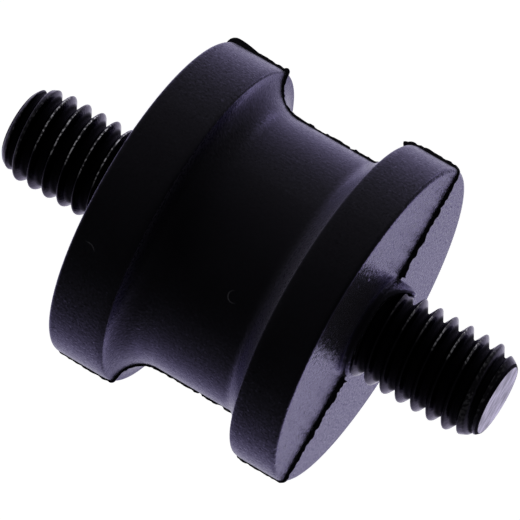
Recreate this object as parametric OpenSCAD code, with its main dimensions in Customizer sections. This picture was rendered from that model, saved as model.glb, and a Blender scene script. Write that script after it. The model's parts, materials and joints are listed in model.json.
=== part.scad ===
// Stud-to-stud rubber vibration mount.
// A waisted rubber body is moulded round two steel plates, and each plate holds
// a threaded stud that stands out of its end face. The plates, the stud heads and
// the necks are buried in the rubber. A thin fin of flash marks the plane in which
// the mould parted.
// The origin is the middle of the body, +Z runs along the axis to the upper stud,
// and the parting plane is XZ.

/* [Rubber body] */
// Diameter of both flanges
flange_d = 20; // [17:0.5:40]
// Height of the rubber between its two end faces
body_h = 15; // [11:0.5:40]
// Rim width of the upper flange
upper_rim_h = 3; // [2.6:0.1:6]
// Rim width of the lower flange
lower_rim_h = 3.5; // [2.6:0.1:6]
// Diameter of the waist between the flanges
waist_d = 16; // [11:0.5:19]
// Radius of the fillet between the waist and a flange
waist_fillet_r = 1.8; // [0.5:0.1:2.5]
// Rounding of the edges of a rim
rim_edge_r = 0.15; // [0.05:0.05:0.4]
// Height that the rubber climbs round the root of a stud
collar_h = 0.4; // [0.4:0.1:1]
// How far that collar of rubber stands out past the thread crests
collar_over = 0.2; // [0.1:0.05:0.6]

/* [Parting flash] */
// Height of the flash fin above the rubber
flash_h = 0.2; // [0.1:0.05:0.35]
// Thickness of the flash fin
flash_t = 0.15; // [0.1:0.05:0.3]

/* [Plates] */
// Thickness of a plate
plate_t = 1.5; // [0.8:0.1:1.8]
// Rubber left between the edge of a plate and the rim
edge_cover_t = 1; // [0.5:0.1:2.5]
// Rubber skin between the outer face of a plate and the end face
skin_t = 0.75; // [0.4:0.05:1.1]

/* [Studs] */
// Major diameter of the stud threads, as rolled for M6
thread_d = 5.8; // [4.8:0.05:8]
// Length of the upper stud beyond its end face
upper_stud_l = 8.3; // [5:0.1:30]
// Length of the lower stud beyond its end face
lower_stud_l = 8.4; // [5:0.1:30]
// Chamfer at the free end of a stud
stud_chamfer = 0.6; // [0.2:0.1:1.2]
// Depth of the unthreaded neck below the thread crests
neck_drop = 0.25; // [0.1:0.05:0.6]
// Height of the press boss above the thread crests
boss_rise = 0.4; // [0.1:0.05:0.8]
// Diameter of the head behind the plate
head_d = 10; // [9:0.5:13]
// Thickness of the head behind the plate
head_h = 1.2; // [0.6:0.1:2]

/* [Hidden] */
$fn = 96;

// Rubber
half_h = body_h / 2;
flange_r = flange_d / 2;
waist_r = waist_d / 2;
groove_low = lower_rim_h - half_h;
groove_high = half_h - upper_rim_h;
groove_fillet_r = min(waist_fillet_r, flange_r - waist_r, (groove_high - groove_low) / 2);

// Inserts, measured at the upper end
plate_r = flange_r - edge_cover_t;
plate_outer_z = half_h - skin_t;
plate_inner_z = plate_outer_z - plate_t;
head_z = plate_inner_z - head_h;
thread_z = half_h + collar_h;
thread_r = thread_d / 2;
collar_r = thread_r + collar_over;
neck_r = thread_r - neck_drop;
boss_r = thread_r + boss_rise;
head_r = head_d / 2;

// Reach of a cutter past the surface that it cuts
cut_over = 0.1;

// Draws its children at the upper end or, mirrored, at the lower one
module at_end(upper) {
    mirror([0, 0, upper ? 0 : 1]) children();
}

// Corner left outside a rounding of radius r whose sharp corner is at the origin
module rounding_cut(r) {
    difference() {
        translate([-r, -r]) square(r + cut_over);
        translate([-r, -r]) circle(r);
    }
}

// Section of the groove, with its floor and walls moved out of the rubber by grow
module groove_section(grow) {
    r = groove_fillet_r - grow;
    low = groove_low + grow;
    high = groove_high - grow;
    floor_x = waist_r + grow;
    mouth_x = flange_r + grow + cut_over;
    translate([floor_x + r, low]) square([mouth_x - floor_x - r, high - low]);
    translate([floor_x, low + r]) square([mouth_x - floor_x, high - low - 2 * r]);
    for (z = [low + r, high - r]) {
        translate([floor_x + r, z]) circle(r);
    }
}

// Half section of the solid body, with its outline moved out by grow
module body_section(grow = 0) {
    edge_r = rim_edge_r + grow;
    rim_x = flange_r + grow;
    difference() {
        translate([0, -half_h - grow]) square([rim_x, body_h + 2 * grow]);
        groove_section(grow);
        for (top = [half_h + grow, groove_low + grow]) {
            translate([rim_x, top]) rounding_cut(edge_r);
        }
        for (bottom = [-half_h - grow, groove_high - grow]) {
            translate([rim_x, bottom]) mirror([0, 1]) rounding_cut(edge_r);
        }
    }
}

// Fin that follows the whole outline of the body in the parting plane
module flash_fin() {
    rotate([90, 0, 0]) linear_extrude(height = flash_t, center = true) {
        body_section(flash_h);
        mirror([1, 0]) body_section(flash_h);
    }
}

// Collar of rubber round the root of the upper stud
module stud_collar() {
    translate([0, 0, plate_outer_z]) cylinder(r = collar_r, h = thread_z - plate_outer_z);
}

// Upper plate before it is pierced
module plate_blank() {
    translate([0, 0, plate_inner_z]) cylinder(r = plate_r, h = plate_t);
}

// Head, press boss and neck of the upper stud, with the neck ending at neck_end
module stud_root(neck_end) {
    rotate_extrude() polygon([
        [0, head_z],
        [head_r, head_z],
        [head_r, plate_inner_z],
        [boss_r, plate_inner_z],
        [boss_r, plate_outer_z],
        [neck_r, plate_outer_z],
        [neck_r, neck_end],
        [0, neck_end]
    ]);
}

// Threaded length of the upper stud, drawn at its crests
module stud_thread(length) {
    tip_z = half_h + length;
    rotate_extrude() polygon([
        [0, thread_z],
        [thread_r, thread_z],
        [thread_r, tip_z - stud_chamfer],
        [thread_r - stud_chamfer, tip_z],
        [0, tip_z]
    ]);
}

module rubber_body() {
    color([0.13, 0.125, 0.15])
    difference() {
        union() {
            rotate_extrude() body_section();
            flash_fin();
            for (upper = [true, false]) {
                at_end(upper) stud_collar();
            }
        }
        for (upper = [true, false]) {
            at_end(upper) {
                plate_blank();
                stud_root(thread_z + cut_over);
            }
        }
    }
}

module plate(upper) {
    color([0.55, 0.56, 0.58])
    at_end(upper) difference() {
        plate_blank();
        translate([0, 0, plate_inner_z - cut_over]) cylinder(r = boss_r, h = plate_t + 2 * cut_over);
    }
}

module stud(upper, length) {
    color([0.2, 0.2, 0.23])
    at_end(upper) {
        stud_root(thread_z);
        stud_thread(length);
    }
}

module upper_plate() {
    plate(true);
}

module lower_plate() {
    plate(false);
}

module upper_stud() {
    stud(true, upper_stud_l);
}

module lower_stud() {
    stud(false, lower_stud_l);
}

rubber_body();
upper_plate();
lower_plate();
upper_stud();
lower_stud();
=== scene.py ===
import json
import math
import bpy
import numpy as np
from mathutils import Matrix, Vector


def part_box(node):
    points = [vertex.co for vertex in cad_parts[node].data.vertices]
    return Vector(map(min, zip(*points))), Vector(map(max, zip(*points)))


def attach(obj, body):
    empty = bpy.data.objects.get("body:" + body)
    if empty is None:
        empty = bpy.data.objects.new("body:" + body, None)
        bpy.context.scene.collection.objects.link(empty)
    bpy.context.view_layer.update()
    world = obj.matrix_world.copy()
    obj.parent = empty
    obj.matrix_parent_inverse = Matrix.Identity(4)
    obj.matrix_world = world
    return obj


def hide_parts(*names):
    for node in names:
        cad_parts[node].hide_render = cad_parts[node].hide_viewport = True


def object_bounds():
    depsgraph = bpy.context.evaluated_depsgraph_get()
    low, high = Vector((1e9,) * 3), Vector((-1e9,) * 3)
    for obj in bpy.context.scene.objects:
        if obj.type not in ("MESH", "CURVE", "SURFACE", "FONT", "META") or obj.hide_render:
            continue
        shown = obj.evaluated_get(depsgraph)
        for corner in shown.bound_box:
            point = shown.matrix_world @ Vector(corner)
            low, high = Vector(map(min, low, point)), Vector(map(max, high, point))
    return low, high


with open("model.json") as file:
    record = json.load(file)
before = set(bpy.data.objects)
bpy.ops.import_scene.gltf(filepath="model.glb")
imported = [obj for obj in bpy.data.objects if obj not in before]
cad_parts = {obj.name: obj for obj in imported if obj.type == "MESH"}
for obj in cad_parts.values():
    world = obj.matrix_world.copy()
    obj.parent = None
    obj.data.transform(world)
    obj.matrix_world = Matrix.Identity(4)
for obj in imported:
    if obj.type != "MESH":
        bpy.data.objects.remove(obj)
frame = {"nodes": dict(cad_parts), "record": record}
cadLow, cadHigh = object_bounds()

mm = 0.001
print("frame loaded:", ", ".join(sorted(frame["nodes"])))

# Sizes that the frame gives, in millimetres
mounts = {mount["name"]: mount for mount in frame["record"]["mounts"]}
upperMount = mounts["upper_stud"]
threadR = upperMount["dims"]["r_mm"]             # over the crests
threadMiddle = upperMount["pos_m"][2] / mm
threadZ = threadMiddle - upperMount["dims"]["length_mm"] / 2   # top of the rubber collar
faceZ = mounts["upper_face"]["pos_m"][2] / mm    # the end faces are at +faceZ and -faceZ
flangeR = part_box("rubber_body")[1].y / mm
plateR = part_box("upper_plate")[1].y / mm
plateInnerZ, plateOuterZ = (corner.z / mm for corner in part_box("upper_plate"))
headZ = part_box("upper_stud")[0].z / mm
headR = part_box("upper_stud")[1].y / mm
tipZ = {"upper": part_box("upper_stud")[1].z / mm, "lower": -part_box("lower_stud")[0].z / mm}

# Sizes of the buried inserts, and of the tongue of rubber that is drawn up over the first thread
# on the -X side of each stud, in millimetres
insert = {
    "neckDrop": 0.25,         # neck below the thread crests
    "bossRise": 0.4,          # press boss above them
}
tongue = {
    "rise": 0.92,
    "bulge": -0.08,           # below zero, so the tongue leans in
    "spread": 34.0,           # degrees
}
neckR = threadR - insert["neckDrop"]
bossR = threadR + insert["bossRise"]


# Share of the tongue at an angle: a bell round the -X side
def tongueShare(angle):
    away = np.degrees(np.abs(np.mod(angle, 2 * np.pi) - np.pi))
    return np.exp(-(away / tongue["spread"]) ** 2)


# Points from start to end, without the end
def straight(start, end, step):
    count = max(1, math.ceil(math.dist(start, end) / step))
    share = np.linspace(0, 1, count, endpoint=False)[:, None]
    return (1 - share) * np.array(start) + share * np.array(end)


# Points of an arc about a centre, without the last one
def bend(centre, radius, fromDeg, toDeg, step, fewest=5):
    count = max(fewest, math.ceil(radius * math.radians(abs(toDeg - fromDeg)) / step))
    angle = np.radians(np.linspace(fromDeg, toDeg, count, endpoint=False))
    return np.array(centre) + radius * np.stack([np.cos(angle), np.sin(angle)], 1)


# 0 below low, 1 above high, and a smooth cubic between
def ease(value, low, high):
    share = np.clip((value - low) / (high - low), 0, 1)
    return share * share * (3 - 2 * share)


# Random values at even knots along a line, joined by straight lines
def ragged(rng, line, spacing):
    knots = np.arange(line.min() - spacing, line.max() + 2 * spacing, spacing)
    return np.interp(line, knots, rng.uniform(-1, 1, len(knots)))


# A closed skin: rings of points, a pole at each end, columns joined round
def closedSkin(rings, firstPole, lastPole):
    rows, columns = rings.shape[:2]
    index = np.arange(rows * columns).reshape(rows, columns)
    turned = np.roll(index, -1, axis=1)
    quads = np.stack([index[:-1], index[1:], turned[1:], turned[:-1]], -1).reshape(-1, 4)
    first, last = rows * columns, rows * columns + 1
    ones = np.ones(columns, int)
    firstCap = np.stack([first * ones, index[0], turned[0]], 1)
    lastCap = np.stack([index[-1], last * ones, turned[-1]], 1)
    points = np.vstack([rings.reshape(-1, 3), firstPole, lastPole])
    return points, quads.tolist() + firstCap.tolist() + lastCap.tolist()


# Puts points in millimetres into a mesh that rides on the part and stands for a solid
def addPiece(name, points, faces, material, node, sharpDeg, attributes):
    mesh = bpy.data.meshes.new(name)
    mesh.from_pydata((points * mm).tolist(), [], faces)
    for key, values in attributes.items():
        layer = mesh.attributes.new(key, "FLOAT", "POINT")
        layer.data.foreach_set("value", np.asarray(values, np.float32))
    mesh.shade_smooth()
    mesh.set_sharp_from_angle(angle=math.radians(sharpDeg))
    mesh.materials.append(material)
    mesh.validate()
    piece = bpy.data.objects.new(name, mesh)
    bpy.context.scene.collection.objects.link(piece)
    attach(piece, "root")
    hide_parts(node)
    print(name, "made with", len(faces), "faces")


# Links a socket to another node's output, or sets its value
def plug(tree, socket, value):
    if isinstance(value, bpy.types.NodeSocket):
        tree.links.new(value, socket)
    else:
        socket.default_value = value


# Adds a node with its settings, and fills its sockets by name, with _ for a space
def addNode(tree, kind, settings=None, **sockets):
    node = tree.nodes.new(kind)
    for key, value in (settings or {}).items():
        setattr(node, key, value)
    for key, value in sockets.items():
        plug(tree, node.inputs[key.replace("_", " ")], value)
    return node


# Result of a calculation on numbers
def calc(tree, operation, *values, kind="ShaderNodeMath", output=0):
    node = addNode(tree, kind, {"operation": operation})
    for socket, value in zip(node.inputs, values):
        plug(tree, socket, value)
    return node.outputs[output]


# Result of a calculation on vectors, which is a vector or, with output "Value", a number
def vectorCalc(tree, operation, *values, output="Vector"):
    return calc(tree, operation, *values, kind="ShaderNodeVectorMath", output=output)


# Noise from a pair of values: its scale per metre and its detail
def noise(tree, coords, pair, output=0):
    return addNode(tree, "ShaderNodeTexNoise", Vector=coords, Scale=pair[0], Detail=pair[1]).outputs[output]


# Bump from a pair of values: its strength and its height in millimetres
def bumped(tree, pattern, pair, **sockets):
    return addNode(tree, "ShaderNodeBump", Height=pattern, Strength=pair[0], Distance=pair[1] * mm,
                   **sockets).outputs[0]


# Carries a value from one range to another, and holds it at both ends
def remap(tree, value, fromRange, toRange=(0.0, 1.0)):
    return addNode(tree, "ShaderNodeMapRange", {"clamp": True}, Value=value, From_Min=fromRange[0],
                   From_Max=fromRange[1], To_Min=toRange[0], To_Max=toRange[1]).outputs[0]


def mixNumber(tree, share, first, second):
    return remap(tree, share, (0.0, 1.0), (first, second))


def mixColour(tree, share, first, second):
    node = addNode(tree, "ShaderNodeMix", {"data_type": "RGBA"})
    for index, value in ((0, share), (6, first), (7, second)):   # where a colour mix has its sockets
        plug(tree, node.inputs[index], value)
    return node.outputs[2]


def metres(values):
    return tuple(value * mm for value in values)


def newMaterial(name):
    material = bpy.data.materials.new(name)
    material.use_nodes = True
    material.node_tree.nodes.clear()
    return material, material.node_tree


def partCoords(tree):
    return tree.nodes.new("ShaderNodeTexCoord").outputs["Object"]


# Ends a material in a Principled shader, with constant values on its own sockets
def shade(tree, constants, **linked):
    shader = addNode(tree, "ShaderNodeBsdfPrincipled", **linked)
    for key, value in constants.items():
        shader.inputs[key].default_value = value
    addNode(tree, "ShaderNodeOutputMaterial", Surface=shader.outputs[0])


# Grain and finish of the rubber, in millimetres
grain = {
    "overall": {"waist": 0.13, "rims": 0.2, "faces": 0.3},   # how far the grain tilts the surface
    "pits": {"waist": 0.3, "rims": 0.5, "faces": 1.2},       # how much more in its scattered pits
    "pitLevels": (0.52, 0.66),      # noise from no pit to a full one
    "rimBand": (0.5, 0.1),          # depths below a rim over which the rims' values take over
    "faceBand": (0.2, 0.02),        # depths below an end face over which the faces' values take over
    "tiltNoise": (7000.0, 1.0),     # scale per metre and detail
    "pitNoise": (4200.0, 2.0),
    "speckleNoise": (5200.0, 2.0),
    "cloudNoise": (260.0, 3.0),
    "speckleLevels": (0.3, 0.7),    # noise from smooth to rough
    "roughness": (0.24, 0.34),
    "faceRoughness": 0.22,
    "cloudLevels": (0.35, 0.65),    # noise from the first colour to the second
    "colours": ((0.0005, 0.0005, 0.0007, 1), (0.0009, 0.0009, 0.0012, 1)),
    "bump": (0.3, 0.06),            # strength and height
    "finish": {
        "Metallic": 1.0,
        "Specular Tint": (0.775, 0.735, 1.0, 1),
        "Sheen Weight": 0.05,
        "Sheen Roughness": 1.0,
        "Sheen Tint": (0.825, 0.78, 1.0, 1),
    },
}
# Two faint curved scuffs in the rubber, each a part of a ring, in millimetres
scuffs = {
    "places": (   # centre, side of it that shows, radius, cosine from that side at which it fades out
        ((2.0, -7.75, 1.72), (0.48, 0.13, -0.87), 0.36, -0.35),
        ((3.85, -9.23, -6.49), (-0.86, -0.34, 0.37), 0.55, 0.7),
    ),
    "width": 0.06,
    "colour": (0.012, 0.012, 0.013, 1),
}


# Lays the scuffs over a colour
def addScuffs(tree, coords, colour):
    for centre, side, radius, fade in scuffs["places"]:
        fromCentre = vectorCalc(tree, "SUBTRACT", coords, metres(centre))
        distance = vectorCalc(tree, "LENGTH", fromCentre, output="Value")
        ring = calc(tree, "COMPARE", distance, radius * mm, scuffs["width"] / 2 * mm)
        shown = vectorCalc(tree, "DOT_PRODUCT", fromCentre, side, output="Value")
        shown = remap(tree, shown, metres((fade * radius, radius)))
        colour = mixColour(tree, calc(tree, "MULTIPLY", ring, shown), colour, scuffs["colour"])
    return colour


# Moulded rubber: near black, with a fine grain. The metal side of the shader gives the violet
# edge tint and leaves the surface black where it is seen straight on, and the sheen is a thin bloom
def rubberMaterial():
    material, tree = newMaterial("moulded_rubber")
    coords = partCoords(tree)
    cloud = remap(tree, noise(tree, coords, grain["cloudNoise"]), grain["cloudLevels"])
    colour = addScuffs(tree, coords, mixColour(tree, cloud, *grain["colours"]))
    level = calc(tree, "ABSOLUTE", addNode(tree, "ShaderNodeSeparateXYZ", Vector=coords).outputs["Z"])
    onFace = remap(tree, level, metres(faceZ - depth for depth in grain["faceBand"]))
    outwards = vectorCalc(tree, "MULTIPLY", coords, (1, 1, 0))
    radius = vectorCalc(tree, "LENGTH", outwards, output="Value")
    onRim = remap(tree, radius, metres(flangeR - depth for depth in grain["rimBand"]))
    # the noise tilts the normal, by an amount that differs between the waist, the rims and the faces
    amounts = []
    for part in (grain["overall"], grain["pits"]):
        aside = mixNumber(tree, onRim, part["waist"], part["rims"])
        amounts.append(mixNumber(tree, onFace, aside, part["faces"]))
    pit = remap(tree, noise(tree, coords, grain["pitNoise"]), grain["pitLevels"])
    amount = calc(tree, "MULTIPLY_ADD", pit, amounts[1], amounts[0])
    tilt = noise(tree, coords, grain["tiltNoise"], "Color")
    tilt = vectorCalc(tree, "SUBTRACT", tilt, (0.5, 0.5, 0.5))   # noise lies about a half
    scaled = addNode(tree, "ShaderNodeVectorMath", {"operation": "SCALE"}, Vector=tilt, Scale=amount)
    facing = tree.nodes.new("ShaderNodeNewGeometry").outputs["Normal"]
    grained = vectorCalc(tree, "NORMALIZE", vectorCalc(tree, "ADD", facing, scaled.outputs[0]))
    speckle = noise(tree, coords, grain["speckleNoise"])
    rough = remap(tree, speckle, grain["speckleLevels"], grain["roughness"])
    rough = mixNumber(tree, onFace, rough, grain["faceRoughness"])
    normal = bumped(tree, speckle, grain["bump"], Normal=grained)
    shade(tree, grain["finish"], Base_Color=colour, Roughness=rough, Normal=normal)
    return material


# Where the black of the studs is rubbed off their crests, and their finish, in millimetres. The rubbed
# crests are kept to the -X side, where the key lamp falls: painted highlight
studWear = {
    "crestBand": (0.82, 0.95),      # heights in the thread over which the rubbed line starts
    "side": {"upper": (-0.6, -2.0), "lower": (1.0, -1.6)},   # along X, from not worn to most worn; painted highlight: it keeps the wear to the -X side, which the key lamp lights
    "firstTurns": (8.6, 11.4),      # up the upper stud, from little worn to worn
    "firstWear": 0.15,
    "lastTurn": (13.9, 14.7),       # from the part's middle, from worn to hardly worn
    "lastWear": 0.05,
    "dotNoise": (5200.0, 1.0),      # scale per metre and detail
    "dotLevels": (0.49, 0.58),      # noise from no bright dot to a full one
    "patchNoise": (900.0, 2.0),
    "patchLevels": (0.34, 0.52),    # noise from few dots to all of them
    "patchShares": (0.15, 1.0),
    "cutNoise": (7000.0, 3.0),
    "cutStretch": (0.16, 1.0, 1.0),   # draws the cut's marks out along X
    "cutLevels": (0.38, 0.62),      # noise from dark marks to pale ones
    "cutShares": (0.25, 1.0),
    "cutPatchLevels": (0.34, 0.54),   # noise from dull patches of the end to pale ones
    "cutPatchShares": (0.3, 1.0),
    "black": (0.001, 0.0009, 0.0013, 1),
    "line": (0.018, 0.0175, 0.019, 1),
    "dots": {"upper": (0.14, 0.136, 0.15, 1), "lower": (0.22, 0.215, 0.235, 1)},
    "endColours": ((0.01, 0.01, 0.012, 1), (0.34, 0.32, 0.41, 1)),
    "roughBand": (0.15, 0.5),       # heights in the thread over which it turns from dull to smooth
    "roughness": (0.9, 0.2),
    "endRoughness": 0.35,
    "bump": (0.4, 0.03),            # strength and height
    "finish": {"Metallic": 1.0, "Specular Tint": (0.86, 0.82, 1.0, 1)},
}


# Share of wear on a stud: most on the -X side, which is painted highlight, as that is the side the key lamp
# lights;
# little on the upper stud's first turns, and hardly any on the last turn of either
def wearOnLitSideShare(tree, place, isUpper):
    along = calc(tree, "ABSOLUTE", place["Z"])
    sides = {}
    for end in ("upper", "lower"):
        sides[end] = remap(tree, place["X"], metres(studWear["side"][end]))
    side = mixNumber(tree, isUpper, sides["lower"], sides["upper"])
    litSideWear = remap(tree, along, metres(studWear["lastTurn"]), (side, studWear["lastWear"]))
    started = remap(tree, place["Z"], metres(studWear["firstTurns"]), (studWear["firstWear"], 1.0))
    return calc(tree, "MULTIPLY", litSideWear, mixNumber(tree, isUpper, 1.0, started))


# Black oxide steel: dark and dull in the thread, rubbed to a grey line with bright dots along the
# crests, kept to the lit -X side as painted highlight, and with a paler end that shows the marks of the cut
def studMaterial():
    material, tree = newMaterial("black_oxide_steel")
    coords = partCoords(tree)
    crest = addNode(tree, "ShaderNodeAttribute", {"attribute_name": "crest"}).outputs["Fac"]
    tip = addNode(tree, "ShaderNodeAttribute", {"attribute_name": "tip"}).outputs["Fac"]
    place = addNode(tree, "ShaderNodeSeparateXYZ", Vector=coords).outputs
    isUpper = remap(tree, place["Z"], (-mm, mm))
    line = remap(tree, crest, studWear["crestBand"])
    # the rubbed line is kept to the -X side that the key lamp lights: painted highlight
    line = calc(tree, "MULTIPLY", line, wearOnLitSideShare(tree, place, isUpper))
    spots = noise(tree, coords, studWear["dotNoise"])
    patches = noise(tree, coords, studWear["patchNoise"])
    dots = calc(tree, "MULTIPLY", line, remap(tree, spots, studWear["dotLevels"]))
    fewer = remap(tree, patches, studWear["patchLevels"], studWear["patchShares"])
    dots = calc(tree, "MULTIPLY", dots, fewer)
    colour = mixColour(tree, line, studWear["black"], studWear["line"])
    dotColour = mixColour(tree, isUpper, studWear["dots"]["lower"], studWear["dots"]["upper"])
    colour = mixColour(tree, dots, colour, dotColour)
    stretched = addNode(tree, "ShaderNodeMapping", Vector=coords, Scale=studWear["cutStretch"]).outputs[0]
    cut = noise(tree, stretched, studWear["cutNoise"])
    marks = remap(tree, cut, studWear["cutLevels"], studWear["cutShares"])
    dulled = remap(tree, patches, studWear["cutPatchLevels"], studWear["cutPatchShares"])
    endColour = mixColour(tree, calc(tree, "MULTIPLY", marks, dulled), *studWear["endColours"])
    colour = mixColour(tree, tip, colour, endColour)
    rough = remap(tree, crest, studWear["roughBand"], studWear["roughness"])
    rough = mixNumber(tree, tip, rough, studWear["endRoughness"])
    normal = bumped(tree, spots, studWear["bump"])
    shade(tree, studWear["finish"], Base_Color=colour, Roughness=rough, Normal=normal)
    return material


# Blasted grey steel of the buried plates
blasted = {
    "noise": (5000.0, 4.0),   # scale per metre and detail
    "colours": ((0.2, 0.205, 0.21, 1), (0.36, 0.365, 0.375, 1)),
    "bump": (0.4, 0.04),      # strength and height in millimetres
    "finish": {"Metallic": 1.0, "Roughness": 0.55},
}


def plateMaterial():
    material, tree = newMaterial("blasted_steel")
    blast = noise(tree, partCoords(tree), blasted["noise"])
    colour = mixColour(tree, blast, *blasted["colours"])
    shade(tree, blasted["finish"], Base_Color=colour, Normal=bumped(tree, blast, blasted["bump"]))
    return material


# Rubber body, in millimetres and degrees
rubber = {
    "waistR": 8.0,
    "rim": {"upper": 3.0, "lower": 3.6},
    "waistFillet": {"upper": 0.8, "lower": 2.1},
    "flareSlopes": {"upper": (44.0, 72.0), "lower": (40.0, 86.0)},   # from the fillet to the rim
    "grooveEdge": 0.15,       # rounding of the rim edges beside the waist
    "faceEdge": 0.24,         # rounding of the rim edges beside the end faces
    "shoulder": (2.0, 11.0),  # radius and turn of the fall of a rim towards its waist edge
    "collarOver": 0.2,        # collar past the thread crests
    "collarFillet": 0.18,     # hollow between a collar and its end face
    "collarEdge": 0.2,        # rounding at the top of a collar
    "rowStep": 0.105,         # spacing of the rows along the outline
    "edgeStep": 0.02625,      # the same round the top of a collar
    "pocketStep": 1.26,       # the same in the pockets
    "columns": 104,           # columns on each side of the parting plane
    "sharpDeg": 50,           # edges that turn by more than this stay sharp
}
# Flash in the parting plane, in millimetres. A pair by side gives the +X side first
flash = {
    "waistHeight": (0.14, 0.15),    # along the waist, by side
    "rimHeight": (0.13, 0.18),      # on the rims, by side
    "faceHeight": (0.28, 0.18),     # on the end faces, beside a collar and at the rim
    "webHeight": 0.12,              # more in the corner between an end face and its collar
    "webWidth": 0.3,
    "webTop": 0.1,                  # height up the collar at which the web ends
    "nibs": (   # by side: corner, distance inwards from the rim, distance up from the corner, rise, spread
        (
            ("upperWaist", 0.0, 0.1, 0.14, 0.2),
            ("lowerWaist", 0.0, -0.1, 0.14, 0.2),
            ("lowerFace", 0.0, 0.0, 0.14, 0.2),
        ), (
            ("upperWaist", 0.32, -0.06, 0.57, 0.3),
            ("lowerWaist", 0.0, -0.1, 0.3, 0.2),
            ("lowerFace", 0.0, 0.3, 0.34, 1.6),
        ),
    ),
    "rimBand": (0.6, 0.1),          # above the waist and below the rim, where the rims' height takes over
    "faceBand": (0.1, 0.02),        # depths below an end face over which the faces' height takes over
    "fadeBand": (0.06, 0.16),       # heights up a collar over which the flash dies away
    "whole": 0.9,                   # mean share of the height that is left on the torn edge
    "tears": ((0.1, 0.45), (0.25, 0.16)),   # share and spacing of the ragged lines along it
    "gap": (0.45, 0.6, 0.6),        # share torn from the waist, spacing, and level past which it is torn
    "sides": (0.056, 0.091),        # distances from the parting plane between which the fin's sides fall
    "offsets": (0.34, 0.2, 0.125, 0.09, 0.072, 0.05, 0.0),   # columns beside the parting plane
    "evenR": 1.5,                   # nearer to the axis than this the columns close in
    "seed": 41,
}
collarR = threadR + rubber["collarOver"]
cornerZ = {
    "upperWaist": faceZ - rubber["rim"]["upper"],
    "lowerWaist": rubber["rim"]["lower"] - faceZ,
    "lowerFace": -faceZ,
}


# Outline of the pocket that an insert fills, in (radius, height), from the axis under the stud head
def pocketOutline():
    step = rubber["pocketStep"]
    return np.vstack([
        straight((0, headZ), (headR, headZ), step),
        straight((headR, headZ), (headR, plateInnerZ), step),
        straight((headR, plateInnerZ), (plateR, plateInnerZ), step),
        straight((plateR, plateInnerZ), (plateR, plateOuterZ), step),
        straight((plateR, plateOuterZ), (neckR, plateOuterZ), step),
        straight((neckR, plateOuterZ), (neckR, faceZ), step),
        straight((neckR, faceZ), (neckR, threadZ), rubber["rowStep"]),
    ])


# Outline of one end in (radius, height), from the pocket's mouth over the collar and the end
# face, down the rim and along the waist to z = 0
def endOutline(end):
    step = rubber["rowStep"]
    waistR, fillet = rubber["waistR"], rubber["waistFillet"][end]
    faceEdge, grooveEdge = rubber["faceEdge"], rubber["grooveEdge"]
    hollow, lip = rubber["collarFillet"], rubber["collarEdge"]
    shoulder, leanDeg = rubber["shoulder"]
    flatDeg, steepDeg = rubber["flareSlopes"][end]
    lean, flat, steep = (math.radians(value) for value in (leanDeg, flatDeg, steepDeg))
    grooveZ = faceZ - rubber["rim"][end]
    # a flare joins the fillet to the rim's edge: its radius makes up the fall that they leave
    edgeR = flangeR - shoulder + (shoulder - grooveEdge) * math.cos(lean)
    edgeZ = grooveZ + grooveEdge * math.sin(steep)
    rimZ = edgeZ - (grooveEdge - shoulder) * math.sin(lean)
    fall = edgeR + grooveEdge * math.cos(steep) - waistR - fillet * (1 - math.cos(flat))
    flare = fall / (math.cos(flat) - math.cos(steep))
    flareR = edgeR + (grooveEdge + flare) * math.cos(steep)
    flareZ = grooveZ - flare * math.sin(steep)
    waistZ = flareZ + (flare - fillet) * math.sin(flat)
    return np.vstack([
        straight((neckR, threadZ), (collarR - lip, threadZ), step),
        bend((collarR - lip, threadZ - lip), lip, 90, 0, rubber["edgeStep"]),
        straight((collarR, threadZ - lip), (collarR, faceZ + hollow), step),
        bend((collarR + hollow, faceZ + hollow), hollow, 180, 270, step),
        straight((collarR + hollow, faceZ), (flangeR - faceEdge, faceZ), step),
        bend((flangeR - faceEdge, faceZ - faceEdge), faceEdge, 90, 0, step),
        straight((flangeR, faceZ - faceEdge), (flangeR, rimZ), step),
        bend((flangeR - shoulder, rimZ), shoulder, 0, -leanDeg, step),
        bend((edgeR, edgeZ), grooveEdge, -leanDeg, -steepDeg, step),
        bend((flareR, flareZ), flare, 180 - steepDeg, 180 - flatDeg, step),
        bend((waistR + fillet, waistZ), fillet, 180 - flatDeg, 180, step),
        straight((waistR, waistZ), (waistR, 0), step),
    ])


# Height of the flash along the outline, on one side: that of the waist, the rims or the faces, times
# the share that the tears leave, plus a web beside each collar, and at least a bell at each nib
def flashHeight(side, rng, radius, z, along):
    level = np.abs(z)
    onRim = ease(radius, rubber["waistR"] + flash["rimBand"][0], flangeR - flash["rimBand"][1])
    onFace = ease(level, *(faceZ - depth for depth in flash["faceBand"]))
    faceHeight = np.interp(radius, (collarR, flangeR), flash["faceHeight"])
    height = flash["waistHeight"][side] * (1 - onRim) + flash["rimHeight"][side] * onRim
    height = height * (1 - onFace) + faceHeight * onFace
    left = np.full(len(along), flash["whole"])
    for share, spacing in flash["tears"]:
        left += share * ragged(rng, along, spacing)
    share, spacing, limit = flash["gap"]
    left -= share * (ragged(rng, along, spacing) > limit) * (1 - onRim) * (1 - onFace)
    web = np.exp(-((radius - collarR) / flash["webWidth"]) ** 2)
    web *= 1 - ease(level, faceZ, faceZ + flash["webTop"])
    height = height * left + flash["webHeight"] * web
    for corner, inwards, upwards, rise, spread in flash["nibs"][side]:
        near = np.hypot(radius - flangeR + inwards, z - cornerZ[corner] - upwards)
        height = np.maximum(height, rise * np.exp(-(near / spread) ** 2))
    return height * (1 - ease(level, *(faceZ + above for above in flash["fadeBand"])))


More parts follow.
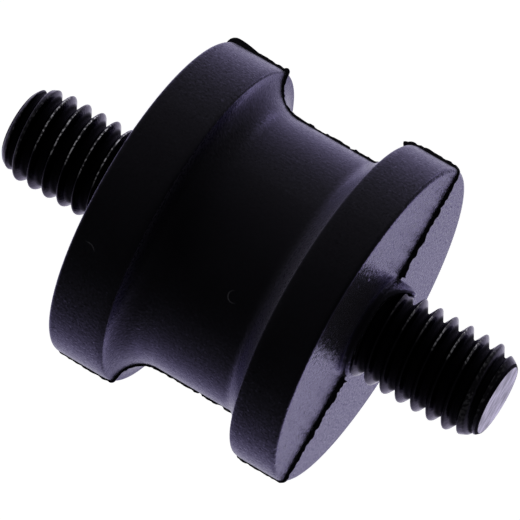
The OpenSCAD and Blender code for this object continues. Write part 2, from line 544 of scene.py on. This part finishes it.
# Rubber body: the whole outline carried round the axis. Beside the parting plane the
# columns keep a fixed distance from it, so that the flash has an even thickness:
# point = outline + normal * flash height, turned by asin(offset / radius)
def makeRubber(material):
    pocket = pocketOutline()
    upper = np.vstack([pocket, endOutline("upper")])
    lower = np.vstack([pocket, endOutline("lower")])[::-1] * (1, -1)
    outline = np.vstack([upper, [(rubber["waistR"], 0)], lower])
    tangent = np.gradient(outline, axis=0)
    tangent /= np.linalg.norm(tangent, axis=1)[:, None]
    normal = np.stack([-tangent[:, 1], tangent[:, 0]], 1)
    along = np.r_[0, np.cumsum(np.linalg.norm(np.diff(outline, axis=0), axis=1))]
    row = np.arange(len(outline))
    outside = (row >= len(pocket)) & (row < len(outline) - len(pocket))
    # the first and last rows are on the axis, where the skin has its poles
    outline, normal, along, outside = (values[1:-1] for values in (outline, normal, along, outside))
    radius, z = outline[:, :1], outline[:, 1:]

    halfOffsets = np.array(flash["offsets"])
    offsets = np.r_[-halfOffsets, halfOffsets[-2::-1]]
    turned = np.arcsin(offsets[None, :] / np.maximum(radius, flash["evenR"]))
    share = np.linspace(0, 1, rubber["columns"] + 2)[None, 1:-1]
    between = turned[:, -1:] + share * (np.pi - 2 * turned[:, -1:])
    angle = np.hstack([turned, between, np.pi + turned, np.pi + between])

    rng = np.random.default_rng(flash["seed"])
    fin = 1 - ease(np.abs(offsets), *flash["sides"])
    height = np.zeros(angle.shape)
    for side, start in ((0, 0), (1, len(offsets) + rubber["columns"])):
        crest = outside * flashHeight(side, rng, radius[:, 0], z[:, 0], along)
        height[:, start:start + len(offsets)] = crest[:, None] * fin[None, :]

    collarFoot = faceZ + rubber["collarFillet"]
    upCollar = np.clip((np.abs(z) - collarFoot) / (threadZ - collarFoot), 0, 1)
    drawn = tongueShare(angle) * upCollar
    bulge = tongue["bulge"] * drawn * ease(radius, neckR, collarR - rubber["collarEdge"])
    skinR = radius + normal[:, :1] * height + bulge
    skinZ = z + normal[:, 1:] * height + tongue["rise"] * drawn * np.sign(z)
    rings = np.stack([skinR * np.cos(angle), skinR * np.sin(angle), skinZ], -1)
    points, faces = closedSkin(rings, (0, 0, headZ), (0, 0, -headZ))
    addPiece("moulded_body", points, faces, material, "rubber_body", rubber["sharpDeg"], {})


# Threaded studs, in millimetres and degrees
stud = {
    "pitch": 1.0,
    "depth": 0.66,
    "flankDeg": 60.0,         # angle between the flanks
    "crestRise": 0.07,        # sharp crest above the nominal one
    "crestDrop": 0.01,        # rolled crest below the nominal one
    "round": 0.11,            # blend of the crests and roots
    "wobble": 0.012,          # unevenness of the rolled crests
    "wobbleColumns": 5,       # its spacing round the stud
    "wobbleRows": 0.3,        # its spacing along the stud
    "crestAt": {"upper": -0.02, "lower": 0.45},   # height of a crest on the +X side
    "growth": 0.12,           # length over which the thread comes out of the rubber
    "leadLength": {"upper": 1.6, "lower": 1.5},   # tapered length at the free end
    "leadDrop": {"upper": 0.7, "lower": 0.62},    # fall of the crests over it
    "leadCurve": 1.4,
    "leadBlend": 0.05,        # blend of the crests and the taper
    "tipRound": {"upper": 0.07, "lower": 0.17},   # depth of the rounding at the very end
    "tipRoundLength": 0.3,
    "endRings": (0.97, 0.9, 0.6, 0.3),   # rings of the end face, as shares of its radius
    "sunk": 0.02,             # first row of the thread below the collar's top
    "leastDepth": 0.05,       # thread depth that a crest's height is measured against, at least
    "headStep": 1.0,          # spacing of the rows of the head
    "neckStep": 0.3,          # spacing of the rows of the neck
    "rowsPerPitch": 28,
    "columns": 144,
    "sharpDeg": 60,           # edges that turn by more than this stay sharp
    "seed": 7,
}


# Smooth lesser of two heights, blended over a width
def lesser(first, second, width):
    share = np.clip(0.5 + 0.5 * (second - first) / width, 0, 1)
    return second + (first - second) * share - width * share * (1 - share)


def greater(first, second, width):
    return -lesser(-first, -second, width)


# Outline of the head, press boss and neck in (radius, height), without the point on the axis
def studRoot(neckEnd):
    step = stud["headStep"]
    return np.vstack([
        straight((0, headZ), (headR, headZ), step),
        straight((headR, headZ), (headR, plateInnerZ), step),
        straight((headR, plateInnerZ), (bossR, plateInnerZ), step),
        straight((bossR, plateInnerZ), (bossR, plateOuterZ), step),
        straight((bossR, plateOuterZ), (neckR, plateOuterZ), step),
        straight((neckR, plateOuterZ), (neckR, neckEnd), stud["neckStep"]),
    ])[1:]


# Threaded stud: radius as a function of height and angle. A crest climbs one pitch a turn,
# the straight flanks fall away from it on both sides, and the crests and roots are rounded
def makeStud(name, node, end, material):
    sign = 1 if end == "upper" else -1
    tip, pitch, columns = tipZ[end], stud["pitch"], stud["columns"]
    step = pitch / stud["rowsPerPitch"]
    start = threadZ - stud["sunk"]
    zRows = np.r_[np.arange(start, tip - step / 2, step), tip]
    root = studRoot(start)
    angle = np.linspace(0, 2 * np.pi, columns, endpoint=False)[None, :]
    z = np.repeat(zRows[:, None], columns, axis=1)

    rng = np.random.default_rng(stud["seed"] + sign)
    roundStud = ragged(rng, np.arange(columns * 1.0), stud["wobbleColumns"])[None, :]
    alongStud = ragged(rng, zRows, stud["wobbleRows"])[:, None]
    wobble = stud["wobble"] * roundStud * alongStud
    turn = sign * z - stud["crestAt"][end] - pitch * angle / (2 * np.pi)
    away = np.abs(np.mod(turn / pitch + 0.5, 1) - 0.5) * pitch
    sharp = threadR + stud["crestRise"] - away / math.tan(math.radians(stud["flankDeg"] / 2))
    rootR = threadR - stud["depth"]
    thread = lesser(sharp, threadR - stud["crestDrop"] + wobble, stud["round"])
    thread = greater(thread, rootR, stud["round"])
    taper = np.clip(1 - (tip - z) / stud["leadLength"][end], 0, 1) ** stud["leadCurve"]
    rounded = np.clip(1 - (tip - z) / stud["tipRoundLength"], 0, 1) ** 2
    envelope = threadR - stud["leadDrop"][end] * taper
    thread = lesser(thread, envelope, stud["leadBlend"]) - stud["tipRound"][end] * rounded
    clear = threadZ + tongue["rise"] * tongueShare(angle)
    grown = ease(z, clear, clear + stud["growth"])
    radius = np.minimum(thread, neckR) * (1 - grown) + thread * grown
    crest = np.clip((radius - rootR) / np.maximum(envelope - rootR, stud["leastDepth"]), 0, 1)

    endR = radius[-1:] * np.array(stud["endRings"])[:, None]
    allR = np.vstack([np.repeat(root[:, :1], columns, 1), radius, endR])
    allZ = np.vstack([np.repeat(root[:, 1:], columns, 1), z, np.full(endR.shape, tip)])
    turns = np.repeat(angle, len(allR), 0)
    rings = np.stack([allR * np.cos(turns), allR * np.sin(turns), sign * allZ], -1)
    points, faces = closedSkin(rings, (0, 0, sign * headZ), (0, 0, sign * tip))
    if sign > 0:
        faces = [face[::-1] for face in faces]
    # one value for each point, and the two poles last
    onEnd = np.r_[np.zeros(allR.size - endR.size), np.ones(endR.size), 0, 1]
    onCrest = np.r_[np.zeros(len(root) * columns), crest.ravel(), np.zeros(endR.size), 0, 0]
    values = {"crest": onCrest, "tip": onEnd}
    addPiece(name, points, faces, material, node, stud["sharpDeg"], values)


rubberSkin = rubberMaterial()
steelBlack = studMaterial()
steelGrey = plateMaterial()
print("materials made")
makeRubber(rubberSkin)
makeStud("upper_threaded_stud", "upper_stud", "upper", steelBlack)
makeStud("lower_threaded_stud", "lower_stud", "lower", steelBlack)
for name in ("upper_plate", "lower_plate"):
    plateMesh = frame["nodes"][name].data
    plateMesh.materials.clear()
    plateMesh.materials.append(steelGrey)
print("plates finished")

# Studio: a pale floor well below the part, a white surround and three soft lamps, in millimetres
studio = {
    "floorDrop": 25.0,        # floor below the lower stud's tip
    "floorSize": 8000.0,
    "floorColour": (0.6, 0.6, 0.6, 1),
    "floorBounce": (0.03, 0.03, 0.03, 1),   # what the floor gives back to dull surfaces
    "floorLift": 0.98,        # added where the floor is seen, to bring the lit floor to white
    "white": (1, 1, 1, 1),
    "ambient": 0.015,         # world light on dull surfaces
    "lamps": (                # direction that the light comes from, width in degrees, strength
        ((-0.9, 0.3, -0.55), 85, 4.9),
        ((0.95, 0.22, -0.36), 85, 0.8),
        ((0.0, 0.8, 0.6), 24, 0.3),
    ),
}


# 1 for rays that see the background straight, in a reflection or through glass, and 0 for others
def seenRay(tree):
    path = tree.nodes.new("ShaderNodeLightPath").outputs
    seen = calc(tree, "MAXIMUM", path["Is Camera Ray"], path["Is Glossy Ray"])
    return calc(tree, "MAXIMUM", seen, path["Is Transmission Ray"])


def makeFloor():
    half = studio["floorSize"] / 2
    level = cadLow.z / mm - studio["floorDrop"]
    corners = [(x * half, y * half, level) for x, y in ((-1, -1), (1, -1), (1, 1), (-1, 1))]
    mesh = bpy.data.meshes.new("floor")
    mesh.from_pydata([metres(corner) for corner in corners], [], [(0, 1, 2, 3)])
    material, tree = newMaterial("floor_paper")
    seen = seenRay(tree)
    colour = mixColour(tree, seen, studio["floorBounce"], studio["floorColour"])
    dull = addNode(tree, "ShaderNodeBsdfDiffuse", Color=colour)
    lift = mixNumber(tree, seen, 0.0, studio["floorLift"])
    glow = addNode(tree, "ShaderNodeEmission", Color=studio["white"], Strength=lift)
    both = tree.nodes.new("ShaderNodeAddShader")
    for socket, part in zip(both.inputs, (dull, glow)):
        plug(tree, socket, part.outputs[0])
    addNode(tree, "ShaderNodeOutputMaterial", Surface=both.outputs[0])
    mesh.materials.append(material)
    floor = bpy.data.objects.new("floor", mesh)
    floor.visible_shadow = False   # light comes up through it, as on a light table
    bpy.context.scene.collection.objects.link(floor)


def makeWorld():
    world = bpy.data.worlds.new("studio")
    bpy.context.scene.world = world
    world.use_nodes = True
    tree = world.node_tree
    tree.nodes.clear()
    strength = mixNumber(tree, seenRay(tree), studio["ambient"], 1.0)
    light = addNode(tree, "ShaderNodeBackground", Color=studio["white"], Strength=strength)
    addNode(tree, "ShaderNodeOutputWorld", Surface=light.outputs[0])


def makeLamps():
    for i, (source, width, strength) in enumerate(studio["lamps"]):
        lamp = bpy.data.lights.new(f"soft_lamp_{i}", "SUN")
        lamp.energy = strength
        lamp.angle = math.radians(width)
        holder = bpy.data.objects.new(f"soft_lamp_{i}", lamp)
        holder.rotation_mode = "QUATERNION"
        holder.rotation_quaternion = Vector(source).to_track_quat("Z", "Y")
        bpy.context.scene.collection.objects.link(holder)


# Camera fitted to the flange ellipses in the photograph, in degrees and millimetres
camera = {
    "elevation": 13.72,
    "azimuth": -2.5,
    "roll": 120.1,            # how far the part's axis leans clockwise from upright
    "distance": 293.9,
    "scale": 17.84,           # pixels per millimetre at the part's middle
    "frame": 520,             # width of the photograph in pixels
    "aim": (-0.12, -0.071),   # the part's middle in the picture, right and up
    "sensor": 36.0,
    "clip": (10.0, 20000.0),  # nearest and farthest that it sees
}


def makeCamera():
    elevation, azimuth, roll = (math.radians(camera[key]) for key in ("elevation", "azimuth", "roll"))
    level = math.cos(elevation)
    back = Vector((math.sin(azimuth) * level, -math.cos(azimuth) * level, math.sin(elevation)))
    across = Vector((math.cos(azimuth), math.sin(azimuth), 0))
    upright = back.cross(across)
    right = across * math.cos(roll) + upright * math.sin(roll)
    up = back.cross(right)
    place = back * camera["distance"] - right * camera["aim"][0] - up * camera["aim"][1]
    lens = bpy.data.cameras.new("camera")
    lens.sensor_width = camera["sensor"]
    lens.lens = camera["scale"] * camera["distance"] / camera["frame"] * lens.sensor_width
    lens.clip_start, lens.clip_end = metres(camera["clip"])
    view = bpy.data.objects.new("camera", lens)
    turn = Matrix((right, up, back)).transposed()
    view.matrix_world = Matrix.Translation(place * mm) @ turn.to_4x4()
    bpy.context.scene.collection.objects.link(view)
    bpy.context.scene.camera = view


makeFloor()
makeWorld()
makeLamps()
makeCamera()
bpy.context.scene.view_settings.view_transform = "Standard"
print("studio and camera set")
